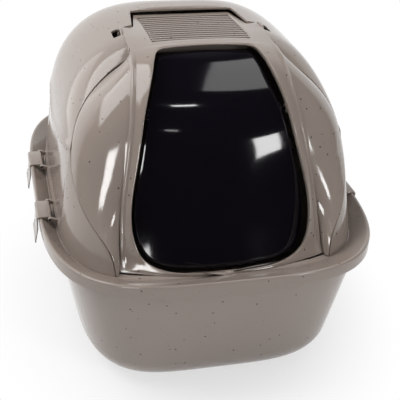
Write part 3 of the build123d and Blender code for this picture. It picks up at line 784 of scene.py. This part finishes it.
def makeLid(look):
    outline = openingOutline()
    edgeWay = travelled(outline)
    stations = np.array([r for r, e in look["stations"]])
    way = travelled(stations)
    at = np.linspace(0, way[-1], 300)
    ridge = np.stack([eased(way, stations[:, k], at) for k in range(3)], axis=1)
    ridgeWay = travelled(ridge)
    stationWay = [ridgeWay[np.argmin(np.linalg.norm(ridge - np.array(r), axis=1))] for r, e in look["stations"]]

    # outer edge of the frame: along the roof, down the ridge and back along the sill
    topX, sideCount, sillHalf = np.array(look["topX"]), 96, look["sillHalf"]
    front = np.full(len(topX), look["roofFront"])
    topOuter = np.column_stack([topX, front, roofHeight(topX, front)])
    sideOuter = walk(ridge, np.linspace(0, ridgeWay[-1], sideCount))
    sillX = np.linspace(sillHalf, 0, 41)[1:]
    sillY = -look["sillFront"] + (look["sillFront"] - look["sillSide"]) * (sillX / sillHalf) ** 2
    sillOuter = np.column_stack([sillX, sillY, np.full(len(sillX), look["foot"])])
    outer = np.concatenate([topOuter, sideOuter, sillOuter])
    outerWay = travelled(outer)
    sideStart = outerWay[len(topX)]

    # each station ties a point of the outer edge to one of the opening
    def onEdge(miss, wrong):
        return edgeWay[np.argmin(np.abs(miss) + wrong * far)]

    reach, height = outline.T
    keys = [(0.0, 0.0), (outerWay[6], onEdge(reach - 60, height < 130))]
    for (r, e), way in list(zip(look["stations"], stationWay))[:-1]:
        v = min((np.array(e) - openOrigin) @ openUp, 143.0 if r[1] < -80 else 151.0)
        keys.append((sideStart + way, onEdge(height - v, reach < 60)))
    keys.append((sideStart + ridgeWay[-1], onEdge(reach - 100, height > -100)))
    keys.append((outerWay[-1], edgeWay[-1]))
    keys = np.array(keys)
    plane = walk(outline, np.interp(outerWay, keys[:, 0], keys[:, 1]))
    inner = onOpening(plane[:, 0], plane[:, 1], bandHeight(plane[:, 0], plane[:, 1]))

    # frame from the lip inside the opening out to the ridge bead
    way = unit(outer - inner)
    span = np.linalg.norm(outer - inner, axis=1)
    along = unit(np.gradient(inner, axis=0) + np.gradient(outer, axis=0))
    face = unit(np.cross(along, way))
    face *= np.where(face @ np.array([0.0, -0.5, 0.86]) < 0, -1, 1)[:, None]
    sideShare = (outerWay - sideStart) / ridgeWay[-1]
    fadeIn, fadeOut, beadEnd = look["beadFade"]
    beadShare = ease(sideShare / fadeIn) * ease((beadEnd - sideShare) / fadeOut)
    r = look["lipRound"]
    rows = [inner - openNormal * look["lipDepth"], inner - openNormal * (look["lipDepth"] * 0.6)]
    for a in np.linspace(0, math.pi / 2, 5):
        rows.append(inner - openNormal * r * (1 - math.sin(a)) + way * r * (1 - math.cos(a)))
    start = inner + way * r
    end = outer - way * np.minimum(look["beadWidth"], span * 0.4)[:, None]
    for t in np.linspace(0, 1, 8)[1:]:
        rows.append(start + (end - start) * t + face * (look["crown"] * 4 * t * (1 - t)))
    for t in np.linspace(0, 1, 9)[1:]:
        rows.append(end + (outer - end) * t + face * (look["bead"] * beadShare * math.sin(math.pi * t))[:, None])
    band = np.stack(rows)

    # quarter panel from the ridge back to the seam
    seamEdge = seamPoint(eased(stationWay, look["seamHeights"], np.linspace(0, ridgeWay[-1], sideCount)))
    ridgeEdge = outer[len(topX):len(topX) + sideCount]
    chord = seamEdge - ridgeEdge
    out = np.column_stack([chord[:, 1], -chord[:, 0], np.zeros(sideCount)])
    bow = unit(out) * (np.linalg.norm(chord[:, :2], axis=1) * look["bulge"])[:, None]
    panel = np.stack([ridgeEdge + chord * t + bow * (4 * t * (1 - t)) for t in np.linspace(0, 1, 26)])

    # roof behind the opening, with the vent left out, and the tongue behind the hinge
    edgeDrop = np.array(look["edgeDrop"])
    xs = np.concatenate([topX, edgeDrop[:, 0]])
    drop = np.concatenate([np.zeros(len(topX)), edgeDrop[:, 1]])
    step, ventHalf, ventFront, ventRear = (look[k] for k in ("hingeStep", "ventHalf", "ventFront", "ventRear"))
    rear, (tongueHalf, tongueEnd) = look["tongueRear"], look["tongue"]
    ys = np.concatenate([[look["roofFront"], -73.0, ventFront], np.linspace(-58, -4, 6), [0.0, 5.0, step],
                         np.linspace(14, 56, 5), [ventRear, 66.0, 71.0, rear]])
    roof = []
    for y, narrow in zip(ys, np.interp(ys, [step, rear], [1.0, tongueEnd / tongueHalf])):
        wide = xs.copy()
        if y > step:
            share = (tongueHalf * narrow - ventHalf) / (tongueHalf - ventHalf)
            wide = np.where((xs > ventHalf) & (xs <= tongueHalf), ventHalf + (xs - ventHalf) * share, xs)
        line = np.full(len(xs), y)
        roof.append(np.column_stack([wide, line, roofHeight(wide, line) - drop]))

    def isGap(i, j):
        y, x = (ys[i] + ys[i + 1]) / 2, (xs[j] + xs[j + 1]) / 2
        return (ventFront < y < ventRear and x < ventHalf) or (y > step and x > tongueHalf)

    points, faces = [], []
    for grid, gap in ((band, None), (panel, None), (np.stack(roof), isGap)):
        for mirror in (1, -1):
            start = sum(len(p) for p in points)
            rows, columns = grid.shape[:2]
            points.append(grid.reshape(-1, 3) * [mirror, 1, 1])
            for index, quad in enumerate(gridFaces(rows, columns, start=start)):
                if gap is None or not gap(*divmod(index, columns - 1)):
                    faces.append(quad[::mirror])
    lid = newPiece("lidShell", np.concatenate(points), faces, weld=0.12)
    closeUp(lid)
    faceAway(lid, (0, -60, 300))
    return settle(lid, wall=look["wall"], bevel=0.7, segments=2)


# vent slats across the roof, one instanced bar per point of a line
slatLook = {"count": 12, "pitch": 10.6, "width": 4.4, "thick": 5.0, "half": 73.2, "middle": -4.0,
            "height": 463.4, "slope": -0.0487, "arch": 0.9, "round": 1.1}


def makeSlats(look, finish):
    holder = newPiece("ventSlats", [(0, 0, 0)], [])
    tree = bpy.data.node_groups.new("vent slats", "GeometryNodeTree")
    recipe = Recipe(tree)
    tree.interface.new_socket("Geometry", in_out="INPUT", socket_type="NodeSocketGeometry")
    sizes = {"Count": look["count"]}
    sizes.update({label: look[label.lower()] * mm for label in ("Pitch", "Width", "Thick", "Half", "Round")})
    keys = {}
    for label in sizes:
        kind = "NodeSocketInt" if label == "Count" else "NodeSocketFloat"
        keys[label] = tree.interface.new_socket(label, in_out="INPUT", socket_type=kind).identifier
    tree.interface.new_socket("Geometry", in_out="OUTPUT", socket_type="NodeSocketGeometry")
    enter, leave = tree.nodes.new("NodeGroupInput"), tree.nodes.new("NodeGroupOutput")
    size = {label: Wire(tree, enter.outputs[label]) for label in sizes}
    node = recipe.node

    # one bar: a rounded box along a line that falls towards both ends
    reach = node("ShaderNodeCombineXYZ", X=size["Half"])
    back = node("ShaderNodeVectorMath", {"operation": "SCALE"}, Vector=reach, Scale=-1.0)
    line = node("GeometryNodeCurvePrimitiveLine", Start=back, End=reach)
    fine = node("GeometryNodeResampleCurve", Curve=line, Count=17)
    share = node("ShaderNodeSeparateXYZ", Vector=node("GeometryNodeInputPosition")) / size["Half"]
    lower = node("ShaderNodeCombineXYZ", Z=share * share * (-look["arch"] * mm))
    arched = node("GeometryNodeSetPosition", Geometry=fine, Offset=lower)
    box = node("GeometryNodeCurvePrimitiveQuadrilateral", Width=size["Width"], Height=size["Thick"])
    corners = node("GeometryNodeFilletCurve", Curve=box, Radius=size["Round"])
    fillet = corners.socket.node
    if hasattr(fillet, "mode"):
        fillet.mode = "POLY"
    for socket in fillet.inputs:
        if socket.name in ("Count", "Mode"):
            socket.default_value = 3 if socket.name == "Count" else "Poly"
    bar = node("GeometryNodeCurveToMesh", Curve=arched, Profile_Curve=corners, Fill_Caps=True)

    # the bars stand in a row that follows the slope of the roof
    step = node("ShaderNodeCombineXYZ", Y=size["Pitch"], Z=size["Pitch"] * look["slope"])
    firstY = look["middle"] - look["pitch"] * (look["count"] - 1) / 2
    first = (0, firstY * mm, (look["height"] + look["slope"] * firstY - look["thick"] / 2) * mm)
    rail = node("GeometryNodeMeshLine", {"mode": "OFFSET"}, Count=size["Count"], Start_Location=first, Offset=step)
    spread = node("GeometryNodeInstanceOnPoints", Points=rail, Instance=bar)
    whole = node("GeometryNodeRealizeInstances", Geometry=spread)
    painted = node("GeometryNodeSetMaterial", Geometry=whole, Material=finish)
    tree.links.new(painted.socket, leave.inputs[0])

    grow = holder.modifiers.new("slats", "NODES")
    grow.node_group = tree
    for label, value in sizes.items():
        grow[keys[label]] = value
    bake(holder)
    closeUp(holder)
    return holder


# hinge barrels under the roof and bosses for the stubs of the door, as (from x, to x, y, z, outer, bore, round)
barrel = (88.0, 103.7, 0.0, 454.0, 8.8, 3.1, 0.9)
boss = (103.5, 114.0, -155.0, 390.0, 7.5, 3.1, 0.6)
lidParts = [makeLid(lidLook)]
for side in (1, -1):
    for name, (x0, x1, *rest) in (("barrel", barrel), ("boss", boss)):
        lidParts.append(tube(name, side * x0, side * x1, *rest))
lidParts.append(makeSlats(slatLook, taupe))
place(join("frontLid", lidParts), "front_lid", taupe, "front_lid")
print("lid made")


# swing door: bowed smoked panel on two ears with stubs
doorLook = {
    "gap": 6.5, "wall": 2.5, "centre": (0.0, -10.0), "pivotY": -155.0, "pivotZ": 390.0, "earX": 95.0, "earWall": 3.5,
    "earRound": 7.0, "earReach": 11.0, "stub": 3.0, "stubEnd": 111.0, "half": 127.0,
    # down the middle as (y, z), and how far the middle is bowed out
    "profile": [
        (-92.0, 455.0, 0.0), (-112.0, 443.0, 2.0), (-135.0, 424.0, 5.0), (-155.0, 402.0, 8.0),
        (-170.0, 380.0, 10.0), (-182.0, 355.0, 12.0), (-192.0, 325.0, 14.0), (-203.0, 285.0, 17.0),
        (-214.0, 248.0, 18.0), (-228.0, 212.0, 18.5), (-238.0, 190.0, 18.0),
    ],
}


def makeDoor(look):
    outline = openingOutline()
    along = np.gradient(outline, axis=0)
    out = unit(np.column_stack([-along[:, 1], along[:, 0]]))
    out *= np.sign(np.sum(out * (outline - [0, 10]), axis=1))[:, None]
    shrunk = outline - out * look["gap"]
    shrunk[0, 0] = shrunk[-1, 0] = 0
    right = walk(shrunk, np.linspace(0, travelled(shrunk)[-1], 121))
    loop = np.concatenate([right, (right * [-1, 1])[-2:0:-1]])
    profile = np.array(look["profile"])
    q = np.column_stack([np.zeros(len(profile)), profile[:, 0], profile[:, 1]]) - openOrigin
    order = np.argsort(q @ openUp)
    vs, ws, rise = (q @ openUp)[order], (q @ openNormal)[order], profile[order, 2]
    centre = np.array(look["centre"])
    rows = []
    for t in [0.001] + list(np.linspace(0.05, 1, 34)):
        plan = centre + (loop - centre) * t
        x, v = plan[:, 0], plan[:, 1]
        w = cubic(vs, ws, v) + cubic(vs, rise, v) * (1 - (x / look["half"]) ** 2)
        rows.append(onOpening(x, v, w))
    panel = newPiece("doorPanel", np.concatenate(rows), gridFaces(len(rows), len(loop), True))
    faceAway(panel, (0, -100, 250))
    parts = [settle(panel, wall=look["wall"], bevel=0.8, segments=3)]
    # ears behind the panel, each with a stub that turns in the lid
    forward = openNormal[1:]
    rise = np.array([-forward[1], forward[0]])
    r, stub, end = look["earRound"], look["stub"], look["stubEnd"]
    ear = [r * (math.cos(a) * forward - math.sin(a) * rise) for a in np.linspace(math.pi / 2, 1.5 * math.pi, 15)]
    ear += [look["earReach"] * forward + r * rise, look["earReach"] * forward - r * rise]
    ear = [(look["pivotY"] + y, look["pivotZ"] + z) for y, z in ear]
    for side in (1, -1):
        x0, x1 = side * (look["earX"] - look["earWall"]), side * look["earX"]
        parts.append(settle(prism("ear", ear, x0, x1, "x"), bevel=0.5))
        profile = [(x0, 0.01), (x0, stub), (side * (end - 0.6), stub), (side * end, stub - 0.6), (side * end, 0.01)]
        parts.append(lathe("stub", profile, look["pivotY"], look["pivotZ"]))
    return join("swingDoor", parts)


place(makeDoor(doorLook), "swing_door", smoked, "swing_door")
print("door made")

# the inner pieces keep their CAD shape
finishes = {"filter_cover": satin, "charcoal_filter": charcoal}
finishes.update({name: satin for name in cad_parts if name.startswith(("lid_pin", "clip_pin"))})
for name, finish in finishes.items():
    paint(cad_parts[name], finish)


# camera at the photograph's place
cameraLook = {
    "azimuth": -13.984, "elevation": 28.773, "roll": 2.243, "distance": 1.47513,
    "target": (0.02392, 0.0, 0.16408), "focal": 885.48, "pixels": 400.0, "sensor": 36.0,
}


def makeCamera(look):
    a, e, r = (math.radians(look[k]) for k in ("azimuth", "elevation", "roll"))
    back = Vector((math.sin(a) * math.cos(e), -math.cos(a) * math.cos(e), math.sin(e)))
    right = (-back).cross(Vector((0, 0, 1))).normalized()
    up = right.cross(-back)
    right, up = math.cos(r) * right + math.sin(r) * up, -math.sin(r) * right + math.cos(r) * up
    data = bpy.data.cameras.new("camera")
    data.sensor_fit = "HORIZONTAL"
    data.sensor_width = look["sensor"]
    data.lens = look["focal"] * look["sensor"] / look["pixels"]
    data.clip_start, data.clip_end = 0.05, 60
    camera = bpy.data.objects.new("camera", data)
    bpy.context.scene.collection.objects.link(camera)
    spot = Vector(look["target"]) + look["distance"] * back
    camera.matrix_world = Matrix.Translation(spot) @ Matrix((right, up, back)).transposed().to_4x4()
    bpy.context.scene.camera = camera


makeCamera(cameraLook)


# studio: pale floor, soft lamps, white background
studioLook = {
    # light of the room, and how far back its reflection turns from dark to white
    "ambient": (0.26, 0.26, 0.27, 1.0), "glossyFront": 0.03, "behind": (0.25, 0.5),
    # where each lamp stands as (azimuth, elevation, distance), then width, height and power
    "lamps": {
        "topSoftbox": (85, 65, 1.7, 0.8, 0.8, 6.0),
        "leftTopSoftbox": (-100, 55, 2.0, 1.3, 1.3, 27.0),
        "leftRearSheet": (-125, 15, 1.9, 1.7, 1.5, 9.0),
        "frontCard": (-27, 17, 1.9, 0.5, 0.5, 14.0),
        "rightWindow": (31, 18, 2.2, 0.32, 0.46, 9.0),
        "smallStrip": (11, 61.5, 2.0, 0.20, 0.045, 0.7),
        "smallPatch": (-1, 38, 2.0, 0.12, 0.05, 0.12),
    },
    # these show only in reflections
    "shineOnly": ("frontCard", "smallStrip", "smallPatch"),
    "aim": (0.0, -0.12, 0.27),
    # the floor turns from a lit surface under the box to plain white further out
    "floorSize": 8000.0, "floorColour": (0.93, 0.93, 0.93, 1.0), "floorGlow": 0.62,
    "squeeze": (1.25, 0.95, 1.0), "fade": (0.22, 0.46),
}


def ray(recipe, kind):
    return recipe.node("ShaderNodeLightPath", out="Is " + kind + " Ray")


def makeStudio(look):
    # white for the camera and from behind; shiny pieces see a dark room in front
    recipe = Recipe(bpy.data.worlds.new("studio world"))
    bpy.context.scene.world = recipe.data
    glossy, seen = ray(recipe, "Glossy"), ray(recipe, "Camera") + ray(recipe, "Transmission")
    way = recipe.node("ShaderNodeTexCoord", out="Generated")
    depth = recipe.node("ShaderNodeSeparateXYZ", out="Y", Vector=way)
    low, high = look["behind"]
    behind = recipe.node("ShaderNodeMapRange", {"interpolation_type": "SMOOTHSTEP"}, Value=depth,
                         From_Min=low, From_Max=high, To_Min=look["glossyFront"], To_Max=1.0)
    white = (seen + glossy * behind).math("MINIMUM", 1.0)
    dark = recipe.mix(glossy, look["ambient"], (0, 0, 0, 1))
    colour = recipe.mix(white, dark, (1, 1, 1, 1))
    recipe.finish(recipe.node("ShaderNodeBackground", Color=colour, Strength=1.0))

    aim = Vector(look["aim"])
    for name, (azimuth, elevation, distance, width, height, power) in look["lamps"].items():
        lamp = bpy.data.lights.new(name, "AREA")
        lamp.shape = "RECTANGLE"
        lamp.size, lamp.size_y, lamp.energy = width, height, power
        holder = bpy.data.objects.new(name, lamp)
        bpy.context.scene.collection.objects.link(holder)
        holder.visible_diffuse = name not in look["shineOnly"]
        a, e = math.radians(azimuth), math.radians(elevation)
        way = Vector((math.sin(a) * math.cos(e), -math.cos(a) * math.cos(e), math.sin(e)))
        holder.location = aim + distance * way
        holder.rotation_euler = (-way).to_track_quat("-Z", "Y").to_euler()

    size = look["floorSize"] / 2
    corners = [(-size, -size, 0), (size, -size, 0), (size, size, 0), (-size, size, 0)]
    floor = newPiece("floor", corners, [(0, 1, 2, 3)], weld=0)
    recipe = Recipe(bpy.data.materials.new("white floor"))
    spot = recipe.node("ShaderNodeTexCoord", out="Object")
    squeezed = recipe.node("ShaderNodeVectorMath", {"operation": "MULTIPLY"}, slots={0: spot, 1: look["squeeze"]})
    away = recipe.node("ShaderNodeVectorMath", {"operation": "LENGTH"}, out="Value", Vector=squeezed)
    low, high = look["fade"]
    fade = recipe.node("ShaderNodeMapRange", {"interpolation_type": "SMOOTHSTEP"}, Value=away,
                       From_Min=low, From_Max=high, To_Min=look["floorGlow"], To_Max=1.0)
    matt = recipe.node("ShaderNodeBsdfDiffuse", Color=look["floorColour"], Roughness=0.5)
    glow = recipe.node("ShaderNodeEmission", Color=(1, 1, 1, 1), Strength=1.0)
    straight = ray(recipe, "Camera") + ray(recipe, "Glossy") + ray(recipe, "Transmission")
    share = straight.math("MINIMUM", 1.0) * fade
    paint(floor, recipe.finish(recipe.node("ShaderNodeMixShader", slots={0: share, 1: matt, 2: glow})))


makeStudio(studioLook)
bpy.context.scene.view_settings.view_transform = "Standard"
print("studio made")

bpy.context.view_layer.update()
